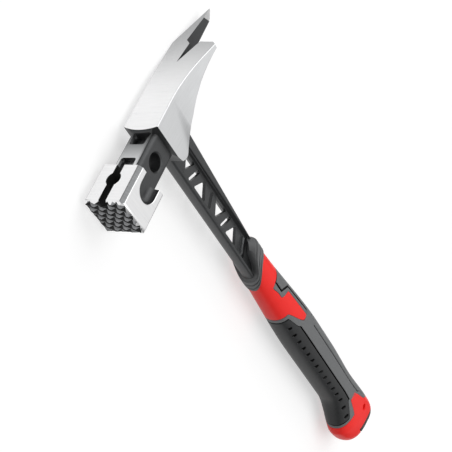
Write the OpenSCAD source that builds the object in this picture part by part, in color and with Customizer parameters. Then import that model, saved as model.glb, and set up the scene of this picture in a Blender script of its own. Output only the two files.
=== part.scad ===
// Framing hammer with a milled square face, a magnetic nail starter, an uneven ripping claw,
// a one-piece forged head and truss shaft, and a grip moulded in several materials.
// x runs back from the striking face to the claw, y runs up the handle to the head,
// and z runs across the head. The hammer lies on its left side, centred on its own outline.
// Sizes that end in _h are measured back from the striking face, those that end in _l down
// from the top of the striking block, and those that end in _w across the head.

/* [Striking block] */
// Side of the square striking face
face_size = 28; // [25:0.5:32]
// Length of the block behind the face
block_h = 26.5; // [24:0.5:29]
// Chamfer along the four long edges of the block
edge_chamfer = 2.2; // [1:0.1:3.5]
// Chamfer around the rim of the face
rim_chamfer = 1.8; // [1:0.1:2.5]
// Distance between milled grooves
tooth_step = 5; // [3:0.25:6]
// Turn of the first row of grooves from the top edge of the face, in degrees
tooth_deg = 36; // [30:1:45]
// Depth of the milled grooves
tooth_depth = 1.3; // [0.8:0.1:1.6]
// Width of the round-ended recess in each side of the block
recess_l = 15; // [11:0.5:17]
// Thickness of steel between the face and the round end of the recess
recess_h = 12.5; // [9:0.5:13]

/* [Nail starter] */
// Width of the nail groove
groove_w = 5.2; // [4:0.2:6]
// Distance of the magnet from the face
magnet_h = 16.5; // [12:0.5:18]
// Diameter of the magnet
magnet_d = 5.5; // [4:0.25:7]
// Height of the magnet
magnet_l = 5; // [3:0.25:7]
// Wall of the brass sleeve round the magnet
sleeve_wall = 0.9; // [0.6:0.1:1.2]
// Width of the seats for nail heads in the top of the neck
seat_w = 10.4; // [8:0.2:12]
// Length of those seats
seat_h = 7.5; // [5:0.25:8]
// Depth of those seats below the top of the neck
seat_l = 4; // [2:0.25:6]

/* [Neck] */
// Width of the neck
neck_w = 18.2; // [15:0.2:19]
// Step from the top of the block down to the top of the neck
neck_drop_l = 3; // [2:0.25:4]
// Depth of the neck, measured along the handle
neck_l = 22; // [20.5:0.25:23]
// Rounding of the long edges of the neck
neck_round = 3.5; // [2:0.25:3.75]
// Diameter of the hole through the neck
neck_hole_d = 11; // [9:0.2:12.6]
// Distance of that hole from the face
neck_hole_h = 40; // [38.5:0.5:43]

/* [Claw] */
// Distance from the face to the corners of the claw's front lip
lip_h = 53.7; // [52:0.25:55]
// Height of the lip above the top of the block
lip_rise_l = 0.7; // [0.4:0.1:1.5]
// Bulge of the lip towards the face
lip_bulge_h = 2.4; // [1:0.2:3]
// Width of the claw at its lip
claw_w = 24; // [21:0.5:26]
// Width of the claw where it is broadest
flare_w = 33.4; // [30:0.4:37]
// Distance from the face to the bend in the top of the claw
bend_h = 92; // [88:1:96]
// Fall of the claw behind the bend, in degrees
bend_deg = 9.7; // [7:0.1:12]
// Distance from the face to the end of the short prong
prong_h = 126; // [122:0.5:130]
// Distance from the face to the tip of the long spike
spike_h = 164; // [155:0.5:172]
// Width of the spike where it starts
spike_w = 9.8; // [8:0.2:11]
// Distance from the face to the root of the nail slot
slot_h = 107; // [102:0.5:111]
// Thickness of the spike behind its tip
spike_t = 4; // [3.2:0.2:5]
// Slope across the underside of the short prong, in degrees
prong_deg = 22; // [16:0.5:26]
// Lower end of the bare cheeks
tongue_l = 32.6; // [30:0.2:35]

/* [Shaft] */
// Distance from the face to the front of the shaft
shaft_h = 54.6; // [54:0.1:55.2]
// Depth of the shaft where it leaves the head
shaft_top_d = 25; // [23.5:0.2:26]
// Depth of the shaft at the grip
shaft_end_d = 18.2; // [17.6:0.1:18.6]
// Width of the flanges
flange_w = 9; // [8:0.2:11]
// Thickness of the front flange
flange_t = 3.2; // [2.5:0.1:4]
// Thickness of the web between the flanges
web_w = 2.2; // [1.6:0.1:4]
// Centre of the first triangular window
window_l = 45.2; // [44:0.2:46]
// Distance from the middle of the last slot to the collar
window_tail_l = 5.2; // [4.4:0.2:7]
// Depth of the windows from front to rear
window_d = 11; // [8:0.2:11.4]
// Width of the slanted slots between the triangles
slot_window_l = 3.4; // [2:0.1:4]

/* [Grip] */
// Top of the collar at the rear of the handle
collar_l = 130.5; // [129.5:0.25:132]
// Length of the collar
collar_len_l = 11.5; // [10:0.25:13]
// How much lower the collar lies at the front
collar_slant_l = 20; // [16:0.5:22]
// End of the grip, on its centre line
butt_l = 367; // [360:0.5:380]
// Distance from the face to the middle of the grip
axis_h = 65.5; // [65:0.1:66]
// Depth of the grip at its collar
throat_d = 21; // [20.6:0.1:22]
// Width of the grip at its collar
throat_w = 18.6; // [18:0.2:20]
// Depth of the grip in the palm
palm_d = 31.8; // [28:0.2:35]
// Width of the grip in the palm
palm_w = 26; // [23:0.2:29]
// How far the toe of the butt reaches forward of the palm
toe_d = 14.8; // [9:0.2:17]
// Width of the butt
butt_w = 28; // [26:0.2:31]
// Thickness of the outer mouldings over the core
skin_t = 3; // [2.4:0.1:3.2]
// Width of the open grooves round the soft pads
pad_gap = 0.8; // [0.5:0.1:1.2]
// Blind slots down each side of the front pad
pad_slots = 15; // [8:1:18]
// Length of those slots, round the grip
pad_slot_w = 3.2; // [2.4:0.1:4]
// Width of those slots, down the grip
pad_slot_l = 1.7; // [1:0.1:2.2]
// Diameter of the lanyard hole
lanyard_d = 5; // [3:0.25:6]
// Distance of the lanyard hole from the end of the grip
lanyard_l = 24.6; // [22:0.2:28]

/* [Hidden] */
$fn = 48;

// Overrun of every cut past the surface it cuts
over = 1;
// Clearance between pieces that are seated on each other
seat = 0.15;
// Steps in one curved edge, and in one rounded corner
curve_steps = 10;
corner_steps = 4;

// The hammer's outline is centred on the origin and lies on z = 0
module placed() translate([-spike_h / 2, (end_l - lip_rise_l) / 2, flare_w / 2]) children();

// A point of a side profile, h back from the face and l down from the top
function at(h, l) = [h, -l];
function mix(a, b, t) = a + (b - a) * t;
function ease(t) = let (u = max(0, min(1, t))) u * u * (3 - 2 * u);
// A curve from a to c that leaves and arrives towards the corner b
function bend(a, b, c, steps = curve_steps) = [for (k = [0:steps])
    let (t = k / steps) (1 - t) * (1 - t) * a + 2 * t * (1 - t) * b + t * t * c];
// An outline with its corners rounded
function softened(points, r) = [for (k = [0:len(points) - 1])
    let (p = points[k], a = points[(k + len(points) - 1) % len(points)], b = points[(k + 1) % len(points)])
    each bend(p + (a - p) / norm(a - p) * r, p, p + (b - p) / norm(b - p) * r, corner_steps)];

// A side profile given its width across the head
module across(w) translate([0, 0, -w / 2]) linear_extrude(w) children();
// A profile seen from the top of the head, carried down the handle
module down(l0, l1) translate([0, -l0, 0]) rotate([90, 0, 0]) linear_extrude(l1 - l0) children();
// A cross-section of the head, drawn as [-l, w], carried back from the face
module back(h0, h1) translate([h0, 0, 0]) rotate([90, 0, 90]) linear_extrude(h1 - h0) children();
module both_sides() {
    children();
    mirror([0, 0, 1]) children();
}
module rounded(size, r) {
    translate([r, 0]) square([size.x - 2 * r, size.y]);
    translate([0, r]) square([size.x, size.y - 2 * r]);
    for (x = [r, size.x - r], y = [r, size.y - r])
        translate([x, y]) circle(r);
}

// Striking block: a chamfered square bar whose face is milled into rows of teeth
function chamfered(a, b, c) = [[a.x + c, a.y], [b.x - c, a.y], [b.x, a.y + c], [b.x, b.y - c],
    [b.x - c, b.y], [a.x + c, b.y], [a.x, b.y - c], [a.x, a.y + c]];
function rimmed(y0, y1) = [[0, y0 + rim_chamfer], [rim_chamfer, y0], [block_h, y0], [block_h, y1],
    [rim_chamfer, y1], [0, y1 - rim_chamfer]];
module striking_block() intersection() {
    back(0, block_h) polygon(chamfered([-face_size, -face_size / 2], [0, face_size / 2], edge_chamfer));
    across(face_size) polygon(rimmed(-face_size, 0));
    down(0, face_size) polygon(rimmed(-face_size / 2, face_size / 2));
}
// Grooves that cross squarely leave a small flat on the top of each tooth
tooth_top_share = 0.3;
tooth_half = tooth_step * (1 - tooth_top_share) / 2;
tooth_rows = ceil(face_size / tooth_step / sqrt(2));
module milled_grooves() translate([0, -face_size / 2, 0])
    for (turn = [tooth_deg, tooth_deg - 90], k = [-tooth_rows:tooth_rows])
        rotate([turn, 0, 0]) translate([0, k * tooth_step, 0])
            linear_extrude(2 * face_size, center = true)
                polygon([[tooth_depth, 0], for (side = [-1, 1])
                    [-over, side * tooth_half * (1 + over / tooth_depth)]]);
recess_mid_l = face_size / 2;
recess_round_share = 0.8;
recess_round = (face_size - neck_w) / 2 * recess_round_share;
// Half of the recess's section, from its middle to its wall, round where the floor meets the wall
module recess_half() {
    square([recess_l / 2 - recess_round, face_size]);
    translate([0, recess_round]) square([recess_l / 2, face_size]);
    translate([recess_l / 2 - recess_round, recess_round]) circle(recess_round);
}
module side_recesses() both_sides()
    translate([recess_h + recess_l / 2, -recess_mid_l, neck_w / 2]) {
        rotate_extrude() intersection() {
            recess_half();
            square([recess_l, face_size]);
        }
        rotate([90, 0, 90]) linear_extrude(block_h) {
            recess_half();
            mirror([1, 0]) recess_half();
        }
    }

// Nail starter: a round groove along the top, seats for the nail head, and a bored magnet seat
groove_sink_share = 0.25;
groove_mid_l = groove_w * groove_sink_share;
sleeve_d = magnet_d + 2 * sleeve_wall + 2 * seat;
sleeve_drop_l = 2;
sleeve_top_l = groove_mid_l + groove_w / 2 + sleeve_drop_l;
sleeve_end_l = sleeve_top_l + magnet_l + sleeve_wall;
counterbore_d = sleeve_d + 2 * sleeve_wall;
counterbore_l = sleeve_top_l - seat;
module upright(h, l0, l1, d) translate([h, -l0, 0]) rotate([90, 0, 0]) cylinder(d = d, h = l1 - l0);
module nail_groove() {
    back(-over, block_h + seat_h / 2) {
        translate([-groove_mid_l, 0]) circle(d = groove_w);
        translate([-groove_mid_l, -groove_w / 2]) square([groove_w, groove_w]);
    }
    upright(magnet_h, -over, counterbore_l, counterbore_d);
    upright(magnet_h, -over, sleeve_end_l, sleeve_d + 2 * seat);
}
seat_round_share = 0.2;
seat_round = seat_h * seat_round_share;
module head_seat(h) down(-over, neck_drop_l + seat_l)
    translate([h, -seat_w / 2]) rounded([seat_h, seat_w], seat_round);
module nail_starter() {
    nail_groove();
    head_seat(block_h);
    head_seat(lip_h - lip_bulge_h - seat_h);
}

// Neck: a rounded bar between the block and the shaft, with one round hole across it
neck_mid_l = neck_drop_l + neck_l / 2;
neck_end_l = neck_drop_l + neck_l;
module neck() back(recess_h, shaft_h + flange_t)
    translate([-neck_end_l, -neck_w / 2]) rounded([neck_l, neck_w], neck_round);
hole_chamfer = 0.8;
module neck_hole() translate(at(neck_hole_h, neck_mid_l)) {
    cylinder(d = neck_hole_d, h = neck_w + 2 * over, center = true);
    both_sides() translate([0, 0, neck_w / 2 - hole_chamfer])
        cylinder(d1 = neck_hole_d, d2 = neck_hole_d + 2 * (hole_chamfer + over), h = hole_chamfer + over);
}
// Round inner corner where the underside of the neck meets the front of the shaft
module neck_fillet() across(flange_w) difference() {
    translate(at(shaft_h - neck_round, neck_end_l + neck_round))
        square([neck_round + flange_t, 2 * neck_round]);
    translate(at(shaft_h - neck_round, neck_end_l + neck_round)) circle(neck_round);
}

// Claw: a side profile cut to a flared outline, slotted into a short prong and a long spike
top_bend_h = (prong_h - bend_h) / 2;
function claw_top(h) = -lip_rise_l + max(0, h - bend_h) * tan(bend_deg);
under_l = claw_top(spike_h) + spike_t;
tongue_lean_share = 0.11;
tongue_deep_share = 0.25;
tongue_round_share = 0.1;
tongue_h = lip_h + tongue_l * tongue_lean_share;
tongue_back_h = tongue_h + claw_w * tongue_deep_share;
tongue_r = claw_w * tongue_round_share;
spike_end_share = 0.25;
spike_end_t = spike_t * spike_end_share;
spike_bevel_h = spike_t + spike_end_t;
function claw_side() = concat(
    bend(at(bend_h - top_bend_h, claw_top(lip_h)), at(bend_h, claw_top(lip_h)),
         at(bend_h + top_bend_h, claw_top(bend_h + top_bend_h))),
    [at(spike_h, claw_top(spike_h)), at(spike_h, claw_top(spike_h) + spike_end_t),
     at(spike_h - spike_bevel_h, under_l)],
    bend(at(slot_h, under_l), at((tongue_back_h + slot_h) / 2, under_l),
         at(tongue_back_h, tongue_l - tongue_r)),
    bend(at(tongue_back_h, tongue_l - tongue_r), at(tongue_h + tongue_r, tongue_l + tongue_r / 2),
         at(tongue_h - tongue_r, tongue_l - tongue_r)),
    [at(lip_h - lip_bulge_h, claw_top(lip_h) + tongue_l / 2), at(lip_h - lip_bulge_h, claw_top(lip_h))]);
// The prong is thinned from below by a curved cut that slopes up towards its outer edge
prong_t = 2.4;
cut_bend_share = 0.39;
cut_top_share = 0.95;
cut_bend_h = mix(tongue_back_h, prong_h, cut_bend_share);
function prong_cut() = concat(
    bend(at(tongue_back_h, tongue_l * cut_top_share), at(cut_bend_h, claw_top(prong_h) + prong_t),
         at(prong_h + over, claw_top(prong_h) + prong_t)),
    [at(prong_h + over, 2 * tongue_l), at(tongue_back_h, 2 * tongue_l)]);
module prong_thinning() translate([0, -claw_top(prong_h), flare_w / 2])
    rotate([-prong_deg, 0, 0]) translate([0, claw_top(prong_h), 0])
        linear_extrude(2 * flare_w, center = true) polygon(prong_cut());
// The tip of the spike is ground away on its inner side
facet_h = 10;
facet_deg = 6;
facet_lean_deg = 35;
module spike_facet() translate([spike_h - facet_h, -claw_top(spike_h - facet_h), tip_w + tip_half_w])
    rotate([0, 0, -bend_deg]) rotate([0, facet_deg, 0]) rotate([0, 0, facet_lean_deg])
        translate([0, -face_size, 0]) cube([face_size, 2 * face_size, spike_w]);
// The outline from above; w is positive on the side of the short prong
half_w = claw_w / 2;
wide_w = flare_w / 2;
parallel_share = 0.3;
flare_share = 0.3;
slot_share = 0.1;
spike_lean_share = 0.125;
tip_share = 0.06;
step_share = 0.4;
prong_in_share = 0.25;
parallel_h = mix(lip_h, prong_h, parallel_share);
flare_h = mix(parallel_h, prong_h, flare_share);
slot_w = -wide_w * slot_share;
spike_in_w = spike_w - wide_w;
spike_lean_w = spike_w * spike_lean_share;
tip_w = spike_in_w - spike_lean_w;
tip_half_w = spike_w * tip_share;
step_h = prong_h + spike_w * step_share;
shoulder_h = (prong_h + step_h) / 2;
function claw_outline() = concat(
    bend([lip_h, half_w], [lip_h - 2 * lip_bulge_h, 0], [lip_h, -half_w]),
    bend([parallel_h, -half_w], [flare_h, -half_w], [prong_h, -wide_w]),
    [[shoulder_h, -wide_w], [spike_h, tip_w - tip_half_w], [spike_h, tip_w + tip_half_w],
     [step_h, spike_in_w], [prong_h, slot_w - spike_lean_w], [slot_h, slot_w],
     [prong_h + prong_t / 2, wide_w * prong_in_share], [prong_h, wide_w - prong_t]],
    bend([prong_h - prong_t, wide_w], [flare_h, half_w], [parallel_h, half_w]));
module claw() difference() {
    intersection() {
        across(flare_w + over) polygon(claw_side());
        down(-lip_rise_l - over, tongue_l + claw_w) polygon(claw_outline());
    }
    intersection() {
        prong_thinning();
        translate([0, -butt_l, slot_w]) cube([spike_h, butt_l, flare_w]);
    }
    spike_facet();
}

// Shaft: two flanges joined by a web with alternating triangles and slanted slots
collar_end_l = collar_l + collar_len_l;
shaft_end_gap_l = 2;
shaft_end_l = collar_end_l - shaft_end_gap_l;
shaft_front_l = collar_l + collar_slant_l + collar_len_l / 2;
shaft_start_l = neck_mid_l;
shaft_slope = atan((shaft_top_d - shaft_end_d) / (shaft_end_l - neck_end_l));
flange_round_share = 0.48;
flange_round = flange_t * flange_round_share;
flange_edge_share = 0.7;
web_h = shaft_h + flange_t;
web_margin_share = 0.75;
window_front_h = web_h + flange_t * web_margin_share;
window_rear_h = window_front_h + window_d;
web_rear_h = window_rear_h + 2 * seat;
window_pairs = 4;
window_step_l = (collar_l - window_tail_l - window_l) / (window_pairs - 1 / 2);
function shaft_rear(l) = shaft_h + shaft_top_d - (l - neck_end_l) * tan(shaft_slope);
// Each flange is crowned outside and runs into the web in a hollow curve
flange_edge_h = shaft_h + flange_t * flange_edge_share;
function front_half() = concat(
    bend([window_front_h, web_w / 2], [web_h, web_w / 2], [flange_edge_h, flange_w / 2]),
    bend([flange_edge_h, flange_w / 2], [shaft_h, flange_w / 2], [shaft_h, 0]));
function mirrored(half) = [for (p = half) [p.x, -p.y]];
module front_flange() down(shaft_start_l, shaft_front_l) {
    polygon(concat(front_half(), [[window_front_h, 0]]));
    polygon(concat(mirrored(front_half()), [[window_front_h, 0]]));
}
module rear_flange() difference() {
    translate(at(shaft_h + shaft_top_d, neck_end_l)) rotate([0, 0, -shaft_slope])
        down(-neck_l / 2, shaft_end_l - neck_end_l)
            translate([-shaft_top_d / 2, -flange_w / 2]) rounded([shaft_top_d / 2, flange_w], flange_round);
    both_sides() down(0, butt_l) polygon(concat(
        bend([window_rear_h, web_w / 2], [web_rear_h, web_w / 2],
             [web_rear_h + flange_round, flange_w / 2 + over]),
        [[0, flange_w / 2 + over], [0, web_w / 2]]));
}
module web() across(web_w)
    polygon([at(shaft_h + flange_t / 2, shaft_start_l), at(web_rear_h + over, shaft_start_l),
             at(web_rear_h + over, shaft_end_l), at(shaft_h + flange_t / 2, shaft_end_l)]);
// Solid ends of the shaft, down to the first window and from the last window into the collar
gusset_share = 0.3;
plate_lead_l = 3.5;
solid_end_l = collar_l - plate_lead_l;
gusset_h = mix(window_front_h, window_rear_h, gusset_share);
gusset_l = solid_end_l + collar_slant_l * gusset_share;
module solid_ends() across(flange_w - 2 * flange_round) {
    polygon([at(shaft_h + flange_t / 2, shaft_start_l), at(web_rear_h + over, shaft_start_l),
             at(web_rear_h + over, window_l - window_half_l), at(window_front_h, window_l),
             at(shaft_h + flange_t / 2, window_l)]);
    polygon([at(shaft_h + flange_t / 2, gusset_l), at(web_rear_h + over, solid_end_l),
             at(web_rear_h + over, shaft_end_l), at(gusset_h, shaft_end_l),
             at(shaft_h + flange_t / 2, shaft_front_l)]);
}
window_round_share = 0.45;
window_half_share = 0.33;
window_lean_share = 0.1;
window_round = slot_window_l * window_round_share;
window_half_l = window_step_l * window_half_share;
window_lean_l = window_step_l * window_lean_share;
// Triangles stand by turns on the rear and the front flange, and slots lean by turns each way
module windows() across(flange_w + 2 * over) for (k = [0:window_pairs - 1]) {
    base_h = k % 2 == 0 ? window_rear_h : window_front_h;
    apex_h = k % 2 == 0 ? window_front_h : window_rear_h;
    mid = window_l + k * window_step_l;
    polygon(softened([at(base_h, mid - window_half_l), at(base_h, mid + window_half_l), at(apex_h, mid)],
                     window_round));
    slot = mid + window_step_l / 2;
    lean = (k % 2 == 0 ? 1 : -1) * window_lean_l;
    half = slot_window_l / 2;
    polygon(softened([at(window_front_h, slot - lean - half), at(window_front_h, slot - lean + half),
                      at(window_rear_h, slot + lean + half), at(window_rear_h, slot + lean - half)],
                     window_round));
}
// Tang: a plain bar that carries the shaft on inside the grip
tang_deep_share = 0.42;
tang_wide_share = 0.56;
tang_d = throat_d * tang_deep_share;
tang_w = flange_w * tang_wide_share;
tang_end_l = butt_l - lanyard_l - 2 * lanyard_d;
module tang(gap) translate([axis_h - tang_d / 2 - gap, -tang_end_l - gap, -tang_w / 2 - gap])
    cube([tang_d + 2 * gap, tang_end_l + gap - collar_l, tang_w + 2 * gap]);
module head_and_shaft() color("#3a3c3e") placed() difference() {
    union() {
        striking_block();
        neck();
        neck_fillet();
        claw();
        front_flange();
        rear_flange();
        web();
        solid_ends();
        tang(0);
    }
    milled_grooves();
    side_recesses();
    nail_starter();
    neck_hole();
    windows();
}
module magnet_sleeve() color("#c9a24a") placed() difference() {
    upright(magnet_h, sleeve_top_l, sleeve_end_l, sleeve_d);
    upright(magnet_h, sleeve_top_l - over, sleeve_top_l + magnet_l, magnet_d + 2 * seat);
}
module nail_magnet() color("#d8d8da") placed()
    upright(magnet_h, sleeve_top_l, sleeve_top_l + magnet_l, magnet_d);

// Grip: every moulding follows one surface. A place on it is l down the handle and an angle
// round the section: 0 at the front, 90 on the right, 180 at the rear, and the same on the left.
section_power = 2.3;
throat_front_share = 0.545;
// Places down the grip, as shares of its length from the collar to the end
full_share = 0.46;
fade_share = 0.58;
waist_share = 0.765;
toe_share = 0.74;
heel_share = 0.9;
toe_end_share = 0.92;
function along(share) = mix(collar_l, butt_l, share);
full_l = along(full_share);
fade_l = along(fade_share);
waist_l = along(waist_share);
toe_l = along(toe_share);
heel_l = along(heel_share);
toe_end_l = along(toe_end_share);
// The domed end leans back, so it reaches lowest a little behind the centre line
dome_l = 23;
dome_lean_l = 6;
dome_end_share = 0.92;
// A power below 1 makes the dome fuller than an ellipse
dome_power = 0.75;
dome_reach = 1 / (1 - dome_power / 2);
rim_l = butt_l - dome_l;
dome_full_l = dome_l / pow(sin(90 * dome_end_share), dome_power);
end_l = rim_l + pow(pow(dome_lean_l, dome_reach) + pow(dome_full_l, dome_reach), 1 / dome_reach);
waist_d = 2;
heel_back_share = 0.55;
function swell(l) = ease((l - collar_l) / (full_l - collar_l));
function front_d(l) = mix(throat_d * throat_front_share, palm_d / 2, swell(l))
    + toe_d * ease((l - toe_l) / (toe_end_l - toe_l));
function rear_d(l) = mix(throat_d * (1 - throat_front_share), palm_d / 2, swell(l))
    - waist_d * (ease((l - fade_l) / (waist_l - fade_l))
        - heel_back_share * ease((l - waist_l) / (heel_l - waist_l)));
function half_width(l) = mix(throat_w, palm_w, swell(l)) / 2
    + (butt_w - palm_w) / 2 * ease((l - toe_l) / (heel_l - toe_l));
function power(x) = sign(x) * pow(abs(x), 2 / section_power);
function on_grip(l, a, lift = 0) = [
    axis_h - ((cos(a) > 0 ? front_d(l) : rear_d(l)) + lift) * power(cos(a)), -l,
    (half_width(l) + lift) * power(sin(a))];

// Angles round the grip from the front to the rear, then back along the other side
function spread(marks, cells) = [for (k = [0:len(cells) - 1], c = [0:cells[k] - 1])
    mix(marks[k], marks[k + 1], c / cells[k])];
function full_turn(half) = concat(half, [180], [for (k = [len(half) - 1:-1:1]) 360 - half[k]]);
function fold(a) = a > 180 ? 360 - a : a;
// Number of a cell, counted from the front on either side
function side_cell(j, n) = j < n / 2 ? j : n - 1 - j;

function transposed(columns) = [for (i = [0:len(columns[0]) - 1]) [for (column = columns) column[i]]];

// A solid inside a stack of rings of points, closed at both ends
function centre(ring) = [for (c = [0:2]) [for (p = ring) p[c]] * [for (p = ring) 1] / len(ring)];
module lathe(rings) {
    n = len(rings[0]);
    m = len(rings);
    polyhedron(
        concat([for (r = rings) each r], [centre(rings[0]), centre(rings[m - 1])]),
        concat([for (i = [0:m - 2], j = [0:n - 1])
                   let (a = i * n + j, b = i * n + (j + 1) % n) each [[a, b, b + n], [a, b + n, a + n]]],
               [for (j = [0:n - 1]) [m * n, (j + 1) % n, j]],
               [for (j = [0:n - 1]) [m * n + 1, (m - 1) * n + j, (m - 1) * n + (j + 1) % n]]));
}
// A moulding of even thickness that covers the kept cells of a net wrapped round the grip.
// Each knot of the net is [l, angle], and its rows run down the handle.
module skin(net, kept, thick) {
    m = len(net) - 1;
    n = len(net[0]);
    function knot(i, j, under) = 2 * (i * n + (j + n) % n) + under;
    function is_kept(i, j) = i >= 0 && i < m && kept(i, (j + n) % n);
    function flat(a, b, c, d) = [[a, b, c], [a, c, d]];
    polyhedron(
        [for (row = net, k = row, under = [0, 1]) on_grip(k[0], k[1], -under * thick)],
        [for (i = [0:m - 1], j = [0:n - 1]) if (is_kept(i, j)) each concat(
            flat(knot(i, j, 0), knot(i, j + 1, 0), knot(i + 1, j + 1, 0), knot(i + 1, j, 0)),
            flat(knot(i, j, 1), knot(i + 1, j, 1), knot(i + 1, j + 1, 1), knot(i, j + 1, 1)),
            is_kept(i - 1, j) ? [] : flat(knot(i, j, 1), knot(i, j + 1, 1), knot(i, j + 1, 0), knot(i, j, 0)),
            is_kept(i + 1, j) ? [] : flat(knot(i + 1, j, 0), knot(i + 1, j + 1, 0),
                                          knot(i + 1, j + 1, 1), knot(i + 1, j, 1)),
            is_kept(i, j - 1) ? [] : flat(knot(i, j, 0), knot(i + 1, j, 0), knot(i + 1, j, 1), knot(i, j, 1)),
            is_kept(i, j + 1) ? [] : flat(knot(i, j + 1, 1), knot(i + 1, j + 1, 1),
                                          knot(i + 1, j + 1, 0), knot(i, j + 1, 0)))]);
}

// Collar: a ribbed ring that lies lower at the front and closes on the end of the shaft
collar_fall_power = 3;
function collar_fall(a) = collar_slant_l * pow((1 + cos(a)) / 2, collar_fall_power);
function collar_top(a) = collar_l + collar_fall(a);
function collar_end(a) = collar_end_l + collar_fall(a);
rib_lift = 1.1;
// Place down the collar and height of each ridge and valley, as shares of its length and of the lift
rib_shares = [[0, 0], [0.06, 0.7], [0.12, 1], [0.3, 1], [0.36, 0.4], [0.42, 0.4],
              [0.48, 1], [0.64, 1], [0.7, 0.4], [0.76, 0.4], [0.82, 1], [0.95, 1], [1, 0]];
// The ring's top slopes up from the first rib to the shaft
shoulder_l = 2.5;
shoulder_d = 4;
room_w = flange_w + 2 * seat;
room_l = collar_l - shoulder_l - over;
module shaft_room() {
    down(room_l, shaft_front_l + seat) translate([shaft_h - seat, -room_w / 2])
        rounded([flange_t + 2 * seat, room_w], flange_round);
    across(room_w - flange_round) polygon([at(shaft_h + flange_round, room_l),
        at(shaft_rear(room_l) - flange_round, room_l),
        at(shaft_rear(room_l) - flange_round, shaft_end_l + seat),
        at(gusset_h + 2 * seat, shaft_end_l + seat),
        at(web_h, shaft_front_l + seat), at(shaft_h + flange_round, shaft_front_l + seat)]);
    down(room_l, shaft_end_l + seat) translate([web_rear_h - over, -room_w / 2])
        rounded([shaft_rear(room_l) + seat - web_rear_h + over, room_w], flange_round / 2);
}
module grip_collar() color("#2f3032") placed() difference() {
    lathe(concat(
        [[for (a = throat_turn) on_grip(collar_top(a) - shoulder_l, a, -shoulder_d)]],
        [for (r = rib_shares) [for (a = throat_turn)
            on_grip(mix(collar_top(a), collar_end(a) - seat, r[0]), a, rib_lift * r[1])]],
        [[for (a = throat_turn) on_grip(collar_end(a) - seat, a, -skin_t - seat)]]));
    shaft_room();
    tang(seat);
}

// Throat: a hard red sleeve below the collar, notched at the rear for the thumb rest
thumb_deg = 66;
thumb_lean_deg = 6;
thumb_step_deg = 32;
thumb_share = 0.125;
thumb_step_share = 0.21;
red_share = 0.277;
thumb_l = along(thumb_share);
thumb_slant_l = 8;
thumb_step_l = along(thumb_step_share);
thumb_step_len_l = 5;
red_l = along(red_share);
red_fall_l = 19;
red_deg = 55;
red_sweep_deg = 38;
function red_end(a) = red_l + red_fall_l * ease((fold(a) - red_deg) / red_sweep_deg);
function thumb_edge(l) = thumb_deg + thumb_lean_deg * ease((l - thumb_l - thumb_slant_l) / thumb_slant_l)
    + thumb_step_deg * ease((l - thumb_step_l) / thumb_step_len_l);
function thumb_top(a) = thumb_l + thumb_slant_l * min(1, (180 - fold(a)) / (180 - thumb_deg));
function turned(a, edge) = a > 180 ? 360 - turned(360 - a, edge)
    : a <= thumb_deg ? a * edge / thumb_deg : 180 - (180 - a) * (180 - edge) / (180 - thumb_deg);
throat_cells = [7, 6];
throat_row_cells = [3, 3, 3, 7];
throat_turn = full_turn(spread([0, thumb_deg, 180], throat_cells));
function throat_rows(a) = let (step_end_l = thumb_step_l + thumb_step_len_l,
        low = red_end(turned(a, thumb_edge(step_end_l))))
    concat(spread([collar_end(a), thumb_top(a), thumb_step_l, step_end_l, low], throat_row_cells), [low]);
throat_columns = [for (a = throat_turn) [for (l = throat_rows(a)) [l, turned(a, thumb_edge(l))]]];
throat_net = transposed(throat_columns);
in_thumb = function(i, j) i >= throat_row_cells[0] && side_cell(j, len(throat_turn)) >= throat_cells[0];
module throat_sleeve() color("#f0302c") placed()
    skin(throat_net, function(i, j) !in_thumb(i, j), skin_t);
module thumb_rest() color("#5c5d5f") placed()
    skin(throat_net, in_thumb, skin_t);

// Frame: a soft grey sleeve with a window for the front pad and one for the rear strip
pad_deg = 67;
strip_deg = 105;
gap_deg = pad_gap / (palm_w / 2) * 180 / PI;
pad_share = 0.295;
pad_end_share = 0.845;
strip_share = 0.395;
strip_end_share = 0.88;
butt_share = 0.857;
pad_top_l = along(pad_share);
pad_end_l = along(pad_end_share);
strip_top_l = along(strip_share);
strip_end_l = along(strip_end_share);
corner_l = 14;
corner_deg = 19;
butt_top_l = along(butt_share);
// The top of the butt rises in a tongue on each side and falls again towards the heel
tongue_rise_l = 14;
tongue_deg = 65;
tongue_sweep_deg = 9;
tongue_end_deg = 88;
tongue_fade_deg = 20;
heel_fall_l = 10;
heel_deg = 90;
heel_sweep_deg = 40;
function corner(a, edge) = corner_l * ease(1 - abs(a - edge) / corner_deg);
function window_top(a) = let (f = fold(a)) f <= pad_deg ? pad_top_l + corner(f, pad_deg)
    : f >= strip_deg ? strip_top_l + corner(f, strip_deg) / 2
    : mix(pad_top_l + corner_l, strip_top_l + corner_l / 2, (f - pad_deg) / (strip_deg - pad_deg));
function butt_top(a) = let (f = fold(a)) butt_top_l + heel_fall_l * ease((f - heel_deg) / heel_sweep_deg)
    - tongue_rise_l * (ease((f - tongue_deg) / tongue_sweep_deg)
        - ease((f - tongue_end_deg) / tongue_fade_deg));
function window_end(a) = let (f = fold(a)) f <= pad_deg ? pad_end_l - corner(f, pad_deg)
    : f >= strip_deg ? strip_end_l - corner(f, strip_deg)
    : mix(pad_end_l, strip_end_l, (f - pad_deg) / (strip_deg - pad_deg)) - corner_l;
frame_cells = [6, 1, 3, 1, 6];
frame_turn = full_turn(spread(
    [0, pad_deg, pad_deg + gap_deg, strip_deg - gap_deg, strip_deg, 180], frame_cells));
first_row = 3;
window_rows = 14;
end_rows = 2;
function frame_rows(a) = concat(
    [for (k = [0:first_row]) mix(red_end(a) + 2 * seat, window_top(a) - pad_gap, k / first_row)],
    [for (k = [0:window_rows]) mix(window_top(a), window_end(a), k / window_rows)],
    [for (k = [0:end_rows]) mix(window_end(a) + pad_gap, butt_top(a) - seat, k / end_rows)]);
frame_columns = [for (a = frame_turn) [for (l = frame_rows(a)) [l, a]]];
frame_net = transposed(frame_columns);
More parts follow.
